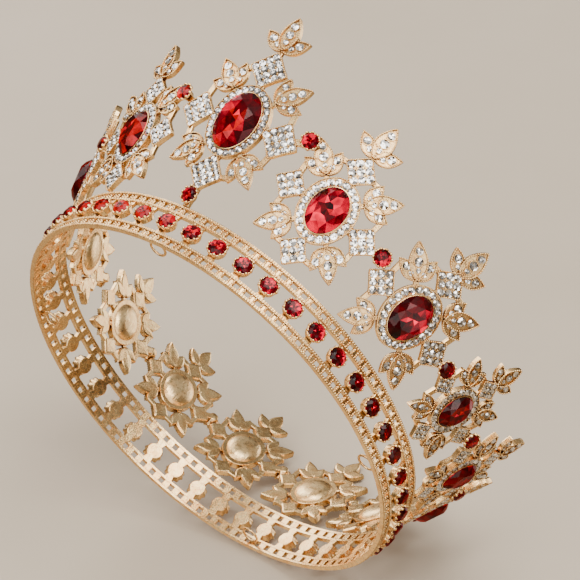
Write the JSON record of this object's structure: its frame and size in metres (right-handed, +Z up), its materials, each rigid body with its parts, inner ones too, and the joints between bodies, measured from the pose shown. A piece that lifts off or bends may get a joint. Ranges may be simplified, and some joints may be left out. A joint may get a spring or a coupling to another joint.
{
  "type": "bridal crown",
  "caption": "Full-round flared bridal crown: openwork cast band with a row of red stones, carrying a ring of oval-stone floral motifs that rise to the front.",
  "frame": {"origin": "centre of the band's ring, on the plane of its lower edge", "axes": "+Z up through the crown as worn, -Y towards the tallest front motif, +X to the wearer's left"},
  "size_m": [0.1856, 0.1958, 0.0883],
  "materials": {
    "cast_gold": "polished pale gold plate over cast alloy",
    "wire_gold": "plated round wire",
    "red_stone": "faceted, foil-backed"
  },
  "bodies": {
    "root": {"back_motif": "cast_gold", "back_oval_stone": "red_stone", "back_pin_loop": "wire_gold", "band_casting": "cast_gold", "front_link_stone_left": "red_stone", "front_link_stone_right": "red_stone", "front_motif": "cast_gold", "front_oval_stone": "red_stone", "front_pin_loop": "wire_gold", "front_stem_stone": "red_stone", "left_fifth_link_stone": "red_stone", "left_fifth_motif": "cast_gold", "left_fifth_oval_stone": "red_stone", "left_first_link_stone": "red_stone", "left_first_motif": "cast_gold", "left_first_oval_stone": "red_stone", "left_fourth_link_stone": "red_stone", "left_fourth_motif": "cast_gold", "left_fourth_oval_stone": "red_stone", "left_pin_loop": "wire_gold", "left_second_link_stone": "red_stone", "left_second_motif": "cast_gold", "left_second_oval_stone": "red_stone", "left_sixth_link_stone": "red_stone", "left_sixth_motif": "cast_gold", "left_sixth_oval_stone": "red_stone", "left_third_link_stone": "red_stone", "left_third_motif": "cast_gold", "left_third_oval_stone": "red_stone", "right_fifth_link_stone": "red_stone", "right_fifth_motif": "cast_gold", "right_fifth_oval_stone": "red_stone", "right_first_link_stone": "red_stone", "right_first_motif": "cast_gold", "right_first_oval_stone": "red_stone", "right_fourth_link_stone": "red_stone", "right_fourth_motif": "cast_gold", "right_fourth_oval_stone": "red_stone", "right_pin_loop": "wire_gold", "right_second_link_stone": "red_stone", "right_second_motif": "cast_gold", "right_second_oval_stone": "red_stone", "right_sixth_link_stone": "red_stone", "right_sixth_motif": "cast_gold", "right_sixth_oval_stone": "red_stone", "right_third_link_stone": "red_stone", "right_third_motif": "cast_gold", "right_third_oval_stone": "red_stone"}
  },
  "joints": []
}
